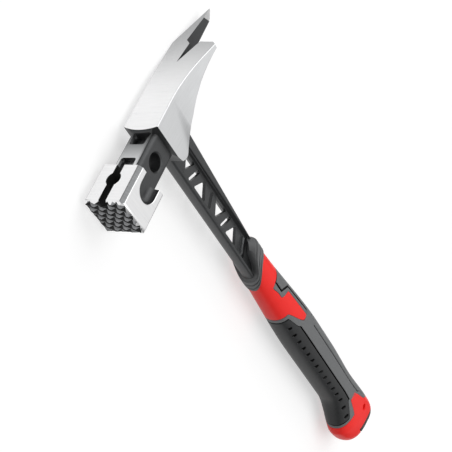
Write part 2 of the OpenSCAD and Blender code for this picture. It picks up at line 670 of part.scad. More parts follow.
last_row = first_row + window_rows + 1;
pad_cell = frame_cells[0];
strip_cell = pad_cell + 1 + frame_cells[2];
in_pad = function(i, j) i > first_row && i < last_row && side_cell(j, len(frame_turn)) < pad_cell;
in_strip = function(i, j) i > first_row && i < last_row && side_cell(j, len(frame_turn)) > strip_cell;
in_window = function(i, j) i >= first_row && i <= last_row
    && (side_cell(j, len(frame_turn)) <= pad_cell || side_cell(j, len(frame_turn)) >= strip_cell);
module grip_frame() color("#5c5d5f") placed()
    skin(frame_net, function(i, j) !in_window(i, j), skin_t);
slot_first_share = 0.063;
slot_last_share = 0.973;
slot_round_share = 0.48;
slot_depth = 1.2;
slot_top_deg = 36.5;
slot_end_deg = 43;
// Blind slots in the pad, each cut square to the grip's axis
module pad_slot(t) {
    l = mix(pad_top_l, pad_end_l, mix(slot_first_share, slot_last_share, t));
    a = mix(slot_top_deg, slot_end_deg, t);
    translate(on_grip(l, a, -slot_depth)) rotate([0, a - 90, 0]) linear_extrude(2 * slot_depth + over)
        translate([-pad_slot_w / 2, -pad_slot_l / 2])
            rounded([pad_slot_w, pad_slot_l], pad_slot_l * slot_round_share, $fn = 16);
}
module front_pad() color("#3f4042") placed() difference() {
    skin(frame_net, in_pad, skin_t);
    both_sides() for (k = [0:pad_slots - 1]) pad_slot(k / (pad_slots - 1));
}
module rear_strip() color("#4a4b4d") placed()
    skin(frame_net, in_strip, skin_t);

// Core: the hard inner sleeve moulded on the tang, which carries all the outer mouldings
core_end_l = tang_end_l + skin_t;
core_rings = 14;
module grip_core() color("#161617") placed() difference() {
    lathe([for (k = [0:core_rings]) [for (a = throat_turn)
        on_grip(mix(collar_end(a), core_end_l, k / core_rings), a, -skin_t - seat)]]);
    tang(seat);
}

// Butt: a hard red cap over the end of the core, with a domed end, a lanyard hole and a soft bumper
butt_rows = 6;
dome_rows = 10;
dome_h = axis_h - (front_d(rim_l) - rear_d(rim_l)) / 2;
function rim(a) = rim_l - dome_lean_l * power(cos(a));
// A place on the dome: t is 0 at its rim and 1 at the very end, d is a depth below its surface
function on_dome(t, a, d = 0) =
    let (k = pow(cos(90 * t), dome_power), p = on_grip(rim(a), a, -d * k),
         sunk_l = (dome_full_l - d) * pow(sin(90 * t), dome_power))
    [mix(dome_h, p.x, k), -rim_l + dome_lean_l * power(cos(a)) * k - sunk_l, p.z * k];
module butt_solid() lathe(concat(
    [[for (a = frame_turn) on_grip(core_end_l + seat, a, -skin_t - seat)],
     [for (a = frame_turn) on_grip(butt_top(a), a, -skin_t - seat)]],
    [for (k = [0:butt_rows - 1]) [for (a = frame_turn) on_grip(mix(butt_top(a), rim(a), k / butt_rows), a)]],
    [for (k = [0:dome_rows]) [for (a = frame_turn) on_dome(dome_end_share * k / dome_rows, a)]]));
bumper_t = 2;
bumper_deg = 62;
bumper_rows = 5;
bumper_cells = 16;
bumper_shares = [0.24, 0.84];
bumper_arc = palm_w / 4;
// The bumper wraps the rear of the dome; with a gap it is the pocket that takes it
module bumper_solid(gap, proud) {
    gap_deg = gap / bumper_arc * 180 / PI;
    turn = spread([bumper_deg - gap_deg, 360 - bumper_deg + gap_deg], [bumper_cells]);
    angles = concat(turn, [360 - bumper_deg + gap_deg]);
    function ring(t, d) = [for (a = angles) on_dome(t, a, d)];
    gap_share = gap / dome_l;
    levels = [for (k = [0:bumper_rows])
        mix(bumper_shares[0] - gap_share, bumper_shares[1] + 2 * gap_share, k / bumper_rows)];
    loops = concat([for (t = levels) ring(t, -proud)],
                   [for (k = [bumper_rows:-1:0]) ring(levels[k], bumper_t + gap)]);
    m = len(loops);
    n = len(angles);
    polyhedron([for (r = loops) each r], concat(
        [for (i = [0:m - 1], j = [0:n - 2])
            let (a = i * n + j, b = ((i + 1) % m) * n + j) each [[a, a + 1, b + 1], [a, b + 1, b]]],
        [for (i = [0:bumper_rows - 1]) let (a = i * n, b = (m - 1 - i) * n)
            each [[a, a + n, b - n], [a, b - n, b]]],
        [for (i = [0:bumper_rows - 1]) let (a = i * n + n - 1, b = (m - 1 - i) * n + n - 1)
            each [[a, b, b - n], [a, b - n, a + n]]]));
}
module lanyard_hole() translate(at(axis_h, butt_l - lanyard_l))
    cylinder(d = lanyard_d, h = butt_w + 2 * over, center = true);
module butt_cap() color("#f0302c") placed() difference() {
    butt_solid();
    bumper_solid(seat, over);
    lanyard_hole();
}
module butt_bumper() color("#26272a") placed() bumper_solid(0, 0);

head_and_shaft();
magnet_sleeve();
nail_magnet();
grip_core();
grip_collar();
throat_sleeve();
thumb_rest();
grip_frame();
front_pad();
rear_strip();
butt_cap();
butt_bumper();
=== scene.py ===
"""Looks of a framing hammer with a milled face, a slotted ripping claw, a truss shaft and a moulded grip.

Lengths are in millimetres until they go into a mesh. A place on the hammer is h back from the striking
face, l down from the top of the striking block and w to the right of the middle, as on the drawing.
"""

import math

import bmesh
import bpy
import numpy as np
from mathutils import Matrix, Vector


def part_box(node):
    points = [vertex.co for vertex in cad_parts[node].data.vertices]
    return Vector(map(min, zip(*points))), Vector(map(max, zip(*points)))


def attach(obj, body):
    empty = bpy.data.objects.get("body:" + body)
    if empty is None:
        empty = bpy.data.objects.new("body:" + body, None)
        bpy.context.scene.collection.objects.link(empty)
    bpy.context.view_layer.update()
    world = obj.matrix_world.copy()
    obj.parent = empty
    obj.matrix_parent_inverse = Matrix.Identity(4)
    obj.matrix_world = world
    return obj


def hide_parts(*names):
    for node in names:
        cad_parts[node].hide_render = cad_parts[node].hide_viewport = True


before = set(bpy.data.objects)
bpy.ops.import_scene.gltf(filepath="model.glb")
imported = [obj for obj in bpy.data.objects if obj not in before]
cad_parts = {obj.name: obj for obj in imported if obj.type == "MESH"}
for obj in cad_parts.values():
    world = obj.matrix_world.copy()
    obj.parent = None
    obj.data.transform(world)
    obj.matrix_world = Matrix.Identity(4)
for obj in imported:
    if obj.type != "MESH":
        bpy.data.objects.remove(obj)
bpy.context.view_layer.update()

# Forging: head, shaft and hidden tang are one piece of drop-forged carbon steel. It is coated satin black,
# then the block and the claw are ground bright on a belt and the face is milled into teeth. The solid comes
# from the frame; here the block's edges and the claw's upper rim are eased and each face gets its finish.
MM = 0.001
LIP_RISE = 0.7  # how far the claw's lip stands above the top of the block
GRAIN_DETAIL = 2.0
MIX_SHARE, MIX_A, MIX_B, MIX_RESULT = 0, 6, 7, 2  # sockets of a Mix node for colours
head_low, head_high = (np.array(corner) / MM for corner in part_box("head_and_shaft"))
face_x = head_low[0]
top_y = head_high[1] - LIP_RISE
middle_z = (head_low[2] + head_high[2]) / 2


def placed(h, l, w):
    """Row-frame points in metres: x is h from the face, y is l below the top, z is w from the middle."""
    return np.stack(np.broadcast_arrays(face_x + h, top_y - l, middle_z + w), -1) * MM


def linear(hex_colour):
    """An sRGB hex colour as linear RGBA: each channel through the standard sRGB curve."""
    channels = np.array([int(hex_colour[k:k + 2], 16) for k in (1, 3, 5)]) / 255
    curve = np.where(channels <= 0.04045, channels / 12.92, ((channels + 0.055) / 1.055) ** 2.4)
    return (*curve, 1.0)


def add(tree, kind, inputs=None, **settings):
    """Adds a node to a tree, with its settings, its plain input values and its links."""
    node = tree.nodes.new(kind)
    for name, value in settings.items():
        setattr(node, name, value)
    for name, value in (inputs or {}).items():
        if isinstance(value, bpy.types.NodeSocket):
            tree.links.new(value, node.inputs[name])
        else:
            node.inputs[name].default_value = value
    return node


def surface(name, **inputs):
    """A new material with one Principled shader; inputs are its sockets, with spaces as underscores."""
    material = bpy.data.materials.new(name)
    material.use_nodes = True
    tree = material.node_tree
    shader = tree.nodes["Principled BSDF"]
    for socket, value in inputs.items():
        shader.inputs[socket.replace("_", " ")].default_value = value
    return material, tree, shader


def grained(name, dark, light, grain_mm, rough, bump, **inputs):
    """A material whose colour, roughness and height follow one noise. grain_mm is the grain's size, the
    same every way or along x, y and z, and bump is the height of the relief in mm."""
    material, tree, shader = surface(name, **inputs)
    place = add(tree, "ShaderNodeTexCoord").outputs["Object"]
    scale = tuple(1 / (MM * np.broadcast_to(grain_mm, 3)))
    stretched = add(tree, "ShaderNodeMapping", {"Vector": place, "Scale": scale}).outputs["Vector"]
    noise = add(tree, "ShaderNodeTexNoise", {"Vector": stretched, "Scale": 1.0, "Detail": GRAIN_DETAIL})
    grain = noise.outputs["Fac"]
    tone = add(tree, "ShaderNodeMix", {MIX_SHARE: grain, MIX_A: linear(dark), MIX_B: linear(light)},
               data_type="RGBA")
    tree.links.new(tone.outputs[MIX_RESULT], shader.inputs["Base Color"])
    matt = add(tree, "ShaderNodeMapRange", {"Value": grain, "To Min": rough[0], "To Max": rough[1]})
    tree.links.new(matt.outputs["Result"], shader.inputs["Roughness"])
    relief = add(tree, "ShaderNodeBump", {"Height": grain, "Strength": 1.0, "Distance": bump * MM})
    tree.links.new(relief.outputs["Normal"], shader.inputs["Normal"])
    return material


def faded(name, finish, first_h, last_h, colour):
    """A copy of a finish whose colour turns to another between two distances from the striking face."""
    material = finish.copy()
    material.name = name
    tree = material.node_tree
    shader = tree.nodes["Principled BSDF"]
    place = add(tree, "ShaderNodeTexCoord").outputs["Object"]
    along_x = add(tree, "ShaderNodeSeparateXYZ", {"Vector": place}).outputs["X"]
    ends = {"From Min": (face_x + first_h) * MM, "From Max": (face_x + last_h) * MM}
    share = add(tree, "ShaderNodeMapRange", {"Value": along_x, **ends}, interpolation_type="SMOOTHSTEP")
    own = shader.inputs["Base Color"].links[0].from_socket
    tone = add(tree, "ShaderNodeMix",
               {MIX_SHARE: share.outputs["Result"], MIX_A: own, MIX_B: linear(colour)}, data_type="RGBA")
    tree.links.new(tone.outputs[MIX_RESULT], shader.inputs["Base Color"])
    return material


# Belt-ground steel is bright and shows fine lines across the block and the claw; 0.5 mm is as fine as
# shows. The claw's top is painted darker towards its tips, a painted shade, and the neck's top is painted
# as bright steel fading into the black, a painted reflection. The chamfers and teeth are darker and
# coarser. The coating is a satin black; a matt black is painted as shade in the nail groove and on the
# teeth's faces that don't face across the rows.
ground_steel = grained("belt_ground_steel", "#e6e6e7", "#f6f6f6",
                       grain_mm=(0.5, 14, 14), rough=(0.24, 0.36), bump=0.006, Metallic=1.0)
cheek_steel = grained("satin_ground_steel", "#d0d1d2", "#e0e1e2",
                      grain_mm=(14, 0.5, 14), rough=(0.3, 0.42), bump=0.006, Metallic=1.0)
chamfer_steel = grained("coarse_ground_steel", "#6c6d6e", "#949596",
                        grain_mm=(0.7, 9, 9), rough=(0.4, 0.55), bump=0.03, Metallic=1.0)
milled_steel = grained("milled_steel", "#77787a", "#a8a9ab",
                       grain_mm=0.8, rough=(0.3, 0.5), bump=0.03, Metallic=1.0)
black_coating = grained("black_oxide_coating", "#3e3f40", "#4a4b4c",
                        grain_mm=1.2, rough=(0.3, 0.4), bump=0.01, Metallic=0.6)
# A matt black, painted as shade in the nail groove and on the teeth that don't face across the rows.
shade_black_coating = grained("painted_shade_black_coating", "#101010", "#181818",
                       grain_mm=0.8, rough=(0.55, 0.7), bump=0.02, Specular_IOR_Level=0.15)
# The claw's top is painted darker towards its tips: a painted shade.
claw_shade_steel = faded("claw_ground_steel_painted_shade", ground_steel, first_h=70, last_h=150, colour="#a2a3a4")
# The neck's top is painted as bright steel that fades into the coating's black: a painted reflection.
neck_reflection_steel = faded("neck_steel_painted_reflection", cheek_steel, first_h=24, last_h=54, colour="#4a4b4c")

WELD, FLAT_DEG, MOST_AT_CORNER = 0.002, 0.5, 6
SHARP_DEG, EASED_DEG, CROWDED_DEG = 32, 28, 40
EDGE_EASE, EASE_STEPS, EASE_START = 0.45, 2, 2


def welded(node):
    """A copy of a CAD node's mesh with its loose triangles merged and its flat neighbours joined."""
    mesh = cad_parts[node].data.copy()
    work = bmesh.new()
    work.from_mesh(mesh)
    bmesh.ops.remove_doubles(work, verts=work.verts, dist=WELD * MM)
    bmesh.ops.dissolve_limit(work, angle_limit=math.radians(FLAT_DEG), verts=work.verts, edges=work.edges)
    work.to_mesh(mesh)
    work.free()
    return mesh


def edge_angles(mesh):
    """Degrees between the two faces at each edge: loops are sorted by edge, so the two lie side by side."""
    edge = np.empty(len(mesh.loops), np.int32)
    mesh.loops.foreach_get("edge_index", edge)
    sizes = np.empty(len(mesh.polygons), np.int32)
    mesh.polygons.foreach_get("loop_total", sizes)
    normals = np.empty(3 * len(mesh.polygons))
    mesh.polygons.foreach_get("normal", normals)
    faces = np.repeat(np.arange(len(sizes)), sizes)[np.argsort(edge, kind="stable")]
    count = np.bincount(edge, minlength=len(mesh.edges))
    first = np.cumsum(count) - count
    normals = normals.reshape(-1, 3)
    paired = count == 2
    angles = np.zeros(len(count))
    cosine = (normals[faces[first[paired]]] * normals[faces[first[paired] + 1]]).sum(1)
    angles[paired] = np.degrees(np.arccos(np.clip(cosine, -1, 1)))
    return angles


def edge_ends(mesh):
    """The two end points of each edge in metres, and the numbers of its two corners."""
    ends = np.empty(2 * len(mesh.edges), np.int32)
    mesh.edges.foreach_get("vertices", ends)
    points = np.empty(3 * len(mesh.vertices))
    mesh.vertices.foreach_get("co", points)
    ends = ends.reshape(-1, 2)
    return points.reshape(-1, 3)[ends], ends


def uncrowded(mesh, chosen):
    """The chosen edges less those that meet another at a narrow angle, where a bevel would tear.
    Ends are sorted by corner, so the edges of one corner lie side by side."""
    points, ends = edge_ends(mesh)
    way = (points[:, 1] - points[:, 0])[chosen]
    way /= np.linalg.norm(way, axis=1, keepdims=True)
    corner = ends[chosen].T.ravel()
    order = np.argsort(corner)
    corner, way = corner[order], np.concatenate((way, -way))[order]
    crowded = np.zeros(len(mesh.vertices), bool)
    for apart in range(1, MOST_AT_CORNER):
        narrow = (way[apart:] * way[:-apart]).sum(1) > math.cos(math.radians(CROWDED_DEG))
        crowded[corner[apart:][narrow & (corner[apart:] == corner[:-apart])]] = True
    return chosen & ~crowded[ends].any(1)


def shown(name, mesh, slot, *nodes):
    """Puts a finished mesh in the scene as a piece that rides on the hammer and stands for CAD nodes."""
    piece = bpy.data.objects.new(name, mesh)
    bpy.context.scene.collection.objects.link(piece)
    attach(piece, "root")
    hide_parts(*nodes)
    return piece


# Places on the head that part one finish from the next, and how near to them a face's middle lies.
BLOCK_H, BLOCK_SIDE, TOOTH_DEPTH, RIM_H, CHAMFER_W = 26.5, 28, 1.3, 3, 3
NAIL_GROOVE_H, NAIL_GROOVE_W, NAIL_GROOVE_L, NECK_TOP_L = 2, 6, 14, 8
CLAW_H, CLAW_L, CHEEK_W, PRONG_END_H, PRONG_W, TIP_H = 51, 12, 11.5, 122, 4, 152
CLOSE = 0.3
# How much of the way a face looks goes along an axis. The last pair points across the rows of teeth.
ALL, MOST, MUCH, HALF, SOME, NONE = 0.9, 0.85, 0.8, 0.5, 0.3, 0.1
ACROSS_UP, ACROSS_RIGHT = 0.81, 0.59
forging_mesh = welded("head_and_shaft")
count = len(forging_mesh.polygons)
centres, normals = np.empty(3 * count), np.empty(3 * count)
forging_mesh.polygons.foreach_get("center", centres)
forging_mesh.polygons.foreach_get("normal", normals)
back, up, right = normals.reshape(-1, 3).T
centre_x, centre_y, centre_z = centres.reshape(-1, 3).T / MM
h, l, w = centre_x - face_x, top_y - centre_y, np.abs(centre_z - middle_z)
upright, aside = np.abs(up), np.abs(right)
in_block = h < BLOCK_H + CLOSE
flats = in_block & (((up > ALL) & (l < CLOSE)) | ((aside > ALL) & (w > BLOCK_SIDE / 2 - CLOSE))
                    | ((up < -ALL) & (l > BLOCK_SIDE - CLOSE)))
teeth = (h < TOOTH_DEPTH + CLOSE) & (((back < -SOME) & (upright > NONE) & (aside > NONE)) | (back < -ALL))
# Teeth faces that don't face across the rows are painted matt black: a painted shade.
shaded_teeth = teeth & (np.abs(ACROSS_UP * up + ACROSS_RIGHT * right) < SOME)
rims = (h < RIM_H) & ~teeth & (back < -SOME)
chamfers = (in_block & (upright > HALF) & (aside > HALF) & (np.abs(back) < NONE)
            & (w > BLOCK_SIDE / 2 - CHAMFER_W))
# These faces get the claw's painted shade towards the tips.
claw_top = (h > CLAW_H) & (up > MOST) & (l < CLAW_L)
cheeks = (h > CLAW_H) & (aside > MUCH) & (w > CHEEK_W)
claw_ends = (h > PRONG_END_H) & (back > HALF) & (w > PRONG_W)
spike_tip = h > TIP_H
# The nail groove and the magnet's counterbore are painted matt black: a painted shade.
in_groove = (h > NAIL_GROOVE_H) & (h < BLOCK_H) & (w < NAIL_GROOVE_W) & (l < NAIL_GROOVE_L)
# The neck's top gets the painted reflection.
neck_top = (h > BLOCK_H) & (h < CLAW_H) & (up > ALL) & (l < NECK_TOP_L)
finish_of = np.zeros(count, np.int32)
forging_mesh.materials.clear()
forging_mesh.materials.append(black_coating)
for finish, faces in ((ground_steel, flats | rims | claw_ends | spike_tip), (chamfer_steel, chamfers),
                      (milled_steel, teeth), (cheek_steel, cheeks), (claw_shade_steel, claw_top),
                      (neck_reflection_steel, neck_top), (shade_black_coating, shaded_teeth | (in_groove & ~flats))):
    finish_of[faces] = len(forging_mesh.materials)
    forging_mesh.materials.append(finish)
forging_mesh.polygons.foreach_set("material_index", finish_of)
forging_mesh.shade_smooth()
forging_mesh.set_sharp_from_angle(angle=math.radians(SHARP_DEG))
eased = forging_mesh.attributes.new("bevel_weight_edge", "FLOAT", "EDGE")
edge_h, edge_l, edge_w = np.abs(edge_ends(forging_mesh)[0].mean(1) / MM - (face_x, top_y, middle_z)).T
on_block = ((edge_h > TOOTH_DEPTH + CLOSE) & (edge_h < BLOCK_H - CLOSE)
            & ((edge_w > NAIL_GROOVE_W) | (edge_l > NAIL_GROOVE_L)))
on_claw = ((edge_h > CLAW_H + EASE_START) & (edge_h < PRONG_END_H - EASE_START)
           & (edge_w > CHEEK_W) & (edge_l < CLAW_L))
chosen = uncrowded(forging_mesh, edge_angles(forging_mesh) > EASED_DEG) & (on_block | on_claw)
eased.data.foreach_set("value", chosen.astype(np.float32))
forging = shown("forging", forging_mesh, "coated_steel", "head_and_shaft")
ease_edges = forging.modifiers.new("eased edges", "BEVEL")
ease_edges.limit_method = "WEIGHT"
ease_edges.width = EDGE_EASE * MM
ease_edges.segments = EASE_STEPS
ease_edges.use_clamp_overlap = False
even_normals = forging.modifiers.new("even normals", "WEIGHTED_NORMAL")
even_normals.keep_sharp = True

# Nail starter: a nickel-plated magnet sits in a turned brass sleeve, which is pressed into a bore in the
# nail groove. Each is a profile carried round the bore's axis, with a small chamfer at its rim.
MAGNET_H, MAGNET_TOP_L, MAGNET_D, MAGNET_L = 16.5, 5.9, 5.5, 5.0
SLEEVE_WALL, SLEEVE_GAP, TURNED_CHAMFER, TURNED_STEPS = 0.9, 0.15, 0.3, 64
SMOOTH_DEG = 40


def grid_mesh(name, points, faces, finish_of, *finishes):
    """A mesh from points and quads with unused and doubled points taken out, shaded smooth up to an angle.
    finish_of numbers the finish of each quad."""
    used, faces = np.unique(faces, return_inverse=True)
    mesh = bpy.data.meshes.new(name)
    mesh.from_pydata(points.reshape(-1, 3)[used].tolist(), [], faces.reshape(-1, 4).tolist())
    mesh.polygons.foreach_set("material_index", finish_of.astype(np.int32))
    work = bmesh.new()
    work.from_mesh(mesh)
    bmesh.ops.remove_doubles(work, verts=work.verts, dist=WELD * MM)
    bmesh.ops.recalc_face_normals(work, faces=work.faces)
    work.to_mesh(mesh)
    work.free()
    for finish in finishes:
        mesh.materials.append(finish)
    mesh.shade_smooth()
    mesh.set_sharp_from_angle(angle=math.radians(SMOOTH_DEG))
    return mesh


def ringed(name, rings, finish):
    """A closed skin over a stack of rings of points; the first and last rings close on a point."""
    rows, columns = rings.shape[:2]
    number = np.arange(rows * columns).reshape(rows, columns)
    beside = np.roll(number, -1, 1)
    faces = np.stack((number[:-1], number[1:], beside[1:], beside[:-1]), -1).reshape(-1, 4)
    return grid_mesh(name, rings, faces, np.zeros(len(faces)), finish)


def turned(name, finish, profile):
    """A turned part on the magnet's axis: a profile of radius and depth carried round a full circle."""
    angle = np.linspace(0, 2 * math.pi, TURNED_STEPS, endpoint=False)
    radius, depth = np.array(profile).T[..., None]
    return ringed(name, placed(MAGNET_H + radius * np.cos(angle), depth, radius * np.sin(angle)), finish)


# Turned brass is a warm yellow with fine tool marks. Nickel plate is a paler and smoother mirror.
turned_brass = grained("turned_brass", "#c79a3e", "#e2bd68",
                       grain_mm=0.3, rough=(0.2, 0.32), bump=0.004, Metallic=1.0)
nickel_plate = grained("nickel_plate", "#dcdce0", "#f2f2f4",
                       grain_mm=1.0, rough=(0.14, 0.24), bump=0.003, Metallic=1.0)
magnet_r = MAGNET_D / 2
bore_r = magnet_r + SLEEVE_GAP
sleeve_r = bore_r + SLEEVE_WALL
chamfer_l = MAGNET_TOP_L + TURNED_CHAMFER
magnet_end_l = MAGNET_TOP_L + MAGNET_L
sleeve_end_l = magnet_end_l + SLEEVE_WALL
sleeve = turned("magnet_sleeve_ring", turned_brass, (
    (0, magnet_end_l), (bore_r, magnet_end_l), (bore_r, chamfer_l), (bore_r + TURNED_CHAMFER, MAGNET_TOP_L),
    (sleeve_r - TURNED_CHAMFER, MAGNET_TOP_L), (sleeve_r, chamfer_l), (sleeve_r, sleeve_end_l),
    (0, sleeve_end_l)))
shown("brass_sleeve", sleeve, "brass", "magnet_sleeve")
magnet = turned("magnet_disc", nickel_plate, (
    (0, MAGNET_TOP_L), (magnet_r - TURNED_CHAMFER, MAGNET_TOP_L), (magnet_r, chamfer_l),
    (magnet_r, magnet_end_l), (0, magnet_end_l)))
shown("plated_magnet", magnet, "magnet", "nail_magnet")

# Core: glass-filled nylon, moulded on the tang, which carries the outer mouldings of the grip. It is nearly
# black and dull, and shows only as the floor of the grooves between them. Its black is also painted as
# shade on the walls and sunk floors of the mouldings.
black_nylon = grained("glass_filled_nylon", "#060606", "#0c0c0d",
                      grain_mm=0.8, rough=(0.7, 0.85), bump=0.01, Specular_IOR_Level=0.1)
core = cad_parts["grip_core"].data
core.materials.clear()
core.materials.append(black_nylon)

# Collar: a soft dark rubber ring with three ribs, moulded over the end of the shaft. It lies lower at the
# front, and its top falls further at the two front corners. The grip below it is one swelling form, and
# each moulding covers a part of that form's surface.
COLLAR_L, COLLAR_LENGTH, COLLAR_SLANT, SLANT_POWER = 130.5, 11.5, 20, 3
BUTT_L, AXIS_H = 367, 65.5
THROAT_D, THROAT_W, PALM_D, PALM_W, TOE_D, BUTT_W = 21, 18.6, 31.8, 26, 14.8, 28
THROAT_FRONT, SECTION_POWER, WAIST_D, HEEL_BACK, SKIN, SEAT = 0.545, 2.3, 2, 0.55, 3, 0.15
# Where each change of the grip's form starts and ends, as shares of its length.
SWELL, WAIST, HEEL, TOE, FLARE = (0, 0.46), (0.58, 0.765), (0.765, 0.9), (0.74, 0.92), (0.74, 0.9)
RIB_LIFT, SHOULDER_RISE, SHOULDER_INSET = 1.1, 2.5, 4
CORNER_FALL, CORNER_TURN, CORNER_SPREAD = 6, 48, 24
COLLAR_ROWS, COLLAR_STEP_DEG = 100, 3.0


def along(share):
    """A place down the grip, from 0 at the collar to 1 at the end."""
    return COLLAR_L + (BUTT_L - COLLAR_L) * share


def ease(t):
    """A smooth step from 0 to 1: three times the square less twice the cube."""
    t = np.clip(t, 0, 1)
    return t * t * (3 - 2 * t)


def rise(l, first, last):
    """A smooth step that starts and ends at two places down the grip, given as shares."""
    return ease((l - along(first)) / (along(last) - along(first)))


def power(x):
    """Keeps the sign and bends a sine or cosine to the section, a little squarer than an ellipse."""
    return np.sign(x) * np.abs(x) ** (2 / SECTION_POWER)


def on_grip(l, a, lift=0.0):
    """A place on the grip, l down the handle and a degrees round it: 0 front, 90 right, 180 rear.
    The section is a squarish ellipse; its depth swells into the palm, waists behind it and reaches out at
    the toe. A lift adds to both half axes."""
    swell = rise(l, *SWELL)
    front = THROAT_D * THROAT_FRONT * (1 - swell) + PALM_D / 2 * swell + TOE_D * rise(l, *TOE)
    rear = THROAT_D * (1 - THROAT_FRONT) * (1 - swell) + PALM_D / 2 * swell
    rear = rear - WAIST_D * (rise(l, *WAIST) - HEEL_BACK * rise(l, *HEEL))
    half = (THROAT_W * (1 - swell) + PALM_W * swell) / 2 + (BUTT_W - PALM_W) / 2 * rise(l, *FLARE)
    across, ahead = power(np.sin(np.radians(a))), power(np.cos(np.radians(a)))
    return placed(AXIS_H - (np.where(ahead > 0, front, rear) + lift) * ahead, l, (half + lift) * across)


def fold(a):
    """Degrees from the front on either side."""
    return 180 - np.abs(180 - a)


def collar_fall(a):
    """How much lower the collar lies than at the rear: a power of a cosine bell over the front."""
    return COLLAR_SLANT * ((1 + np.cos(np.radians(a))) / 2) ** SLANT_POWER


def corner_fall(a):
    """How much further the collar's top falls at its front corners: a Gaussian bell about each of them."""
    return CORNER_FALL * np.exp(-((fold(a) - CORNER_TURN) / CORNER_SPREAD) ** 2)


def closed(ring):
    """The middle of a ring, once for each of its points."""
    return np.broadcast_to(ring.mean(1, keepdims=True), ring.shape)


# Moulded rubber is a dark grey with a soft sheen and a fine grain; 1 mm is as fine as shows.
collar_rubber = grained("collar_rubber", "#58595a", "#666768",
                        grain_mm=1.0, rough=(0.42, 0.56), bump=0.02)
rib_places = np.array((0, 0.06, 0.14, 0.36, 0.44, 0.52, 0.68, 0.76, 0.84, 0.95, 1))
rib_heights = np.array((-0.3, -0.3, 1, 1, 0.1, 1, 1, 0.1, 0.9, 0.9, 0))
down_collar = np.linspace(0, 1, COLLAR_ROWS)
span = np.clip(np.searchsorted(rib_places, down_collar, "right") - 1, 0, len(rib_places) - 2)
step = ease((down_collar - rib_places[span]) / (rib_places[span + 1] - rib_places[span]))
ribs = RIB_LIFT * (rib_heights[span] + (rib_heights[span + 1] - rib_heights[span]) * step)
a = np.arange(0, 360, COLLAR_STEP_DEG)
collar_top = COLLAR_L + collar_fall(a) + corner_fall(a)
collar_rows = collar_top + (COLLAR_LENGTH - SEAT - corner_fall(a)) * down_collar[:, None]
shoulder = on_grip(collar_top[None] - SHOULDER_RISE, a, -SHOULDER_INSET)
collar_foot = on_grip(collar_rows[-1:], a, -SKIN - SEAT)
rings = np.concatenate((closed(shoulder), shoulder, on_grip(collar_rows, a, ribs[:, None]), collar_foot,
                        closed(collar_foot)))
shown("ribbed_collar", ringed("collar", rings, collar_rubber), "dark_rubber", "grip_collar")

# Throat: a hard red plastic sleeve, moulded on the core below the collar and notched at the rear for a
# thumb rest of grey soft rubber, which is moulded into it. A fine groove runs inside its edge.
THUMB_DEG, THUMB_LEAN, THUMB_STEP, THUMB_SLANT, STEP_LENGTH = 66, 6, 32, 8, 5
RED_FALL, RED_DEG, RED_SWEEP = 19, 55, 38
EDGE, EDGE_CELLS = 0.5, 4  # the round edge of each moulding
AT_ONCE = 50
SUNK_PART, SUNK_LEAST = 1 / 3, 0.01  # the part of the greatest depth from which a cell counts as sunk
thumb_l, step_l, red_l = (along(share) for share in (0.125, 0.21, 0.277))


def between(marks, cells):
    """Rows of a net: even steps from each row of marks to the next."""
    marks = np.stack(np.broadcast_arrays(*marks))
    spans = [first + (last - first) * (np.arange(count) / count).reshape((-1,) + (1,) * first.ndim)
             for first, last, count in zip(marks[:-1], marks[1:], cells)]
    return np.concatenate(spans + [marks[-1:]])


def full_turn(half):
    """Angles from the front to the rear on the right, then back to the front on the left."""
    return np.concatenate((half, 360 - half[-2:0:-1]))


def cell_sides(a):
    """Degrees from the front to the middle of each cell between the angles of a full turn."""
    return fold((a + np.append(a[1:], 360)) / 2)


def turn_of(length, radius):
    """Degrees that a length takes up on a circle: the length over the radius."""
    return length / radius * 180 / math.pi


def nearest(points, targets):
    """Distance in mm from each point to the nearest target, a few targets at a time."""
    best = np.full(points.shape[:-1], np.inf)
    for some in np.array_split(targets, max(1, len(targets) // AT_ONCE)):
        gap = np.linalg.norm(points[..., None, :] - some, axis=-1).min(-1)
        best = np.minimum(best, gap)
    return best / MM


def moulding(name, first, second, kept, place, finish, depth=SKIN, sink=None):
    """A closed moulding over the kept cells of a net that wraps round the grip. place gives a point from
    the net's two values and a lift. The lift falls in a quarter circle at the edge, whose walls go down to
    the depth; sink is an extra depth at each knot. Walls and sunk cells are painted in the core's black, a
    painted shade in the gaps, grooves and slots."""
    rows, columns = first.shape
    sink = np.zeros((rows, columns)) if sink is None else sink
    number = np.arange(rows * columns).reshape(rows, columns)
    beside = np.roll(number, -1, 1)
    padded = np.pad(kept, ((1, 1), (0, 0)))
    level = np.stack((number, beside), -1)[padded[1:] != padded[:-1]]
    steep = np.stack((number[:-1], number[1:]), -1)[kept != np.roll(kept, 1, 1)]
    rim = np.concatenate((level, steep))
    outer = place(first, second, 0.0)
    rim_points = outer.reshape(-1, 3)[rim]
    rim_points = np.concatenate((rim_points[:, 0], rim_points.mean(1), rim_points[:, 1]))
    inset = np.minimum(nearest(outer, rim_points), EDGE)
    drop = EDGE - np.sqrt(EDGE ** 2 - (EDGE - inset) ** 2)
    points = np.concatenate((place(first, second, -drop - sink), place(first, second, -depth)))
    cells = np.stack((number[:-1], number[1:], beside[1:], beside[:-1]), -1)[kept]
    sunk = sink.ravel()[cells].mean(1) > max(sink.max() * SUNK_PART, SUNK_LEAST)
    under = rows * columns
    walls = np.stack((rim[:, 0], rim[:, 1], rim[:, 1] + under, rim[:, 0] + under), -1)
    faces = np.concatenate((cells, cells[:, ::-1] + under, walls))
    # Sunk cells and walls take the core's black: a painted shade.
    finish_of = np.concatenate((sunk, np.zeros(len(cells)), np.ones(len(walls))))
    return grid_mesh(name, points, faces, finish_of, finish, black_nylon)


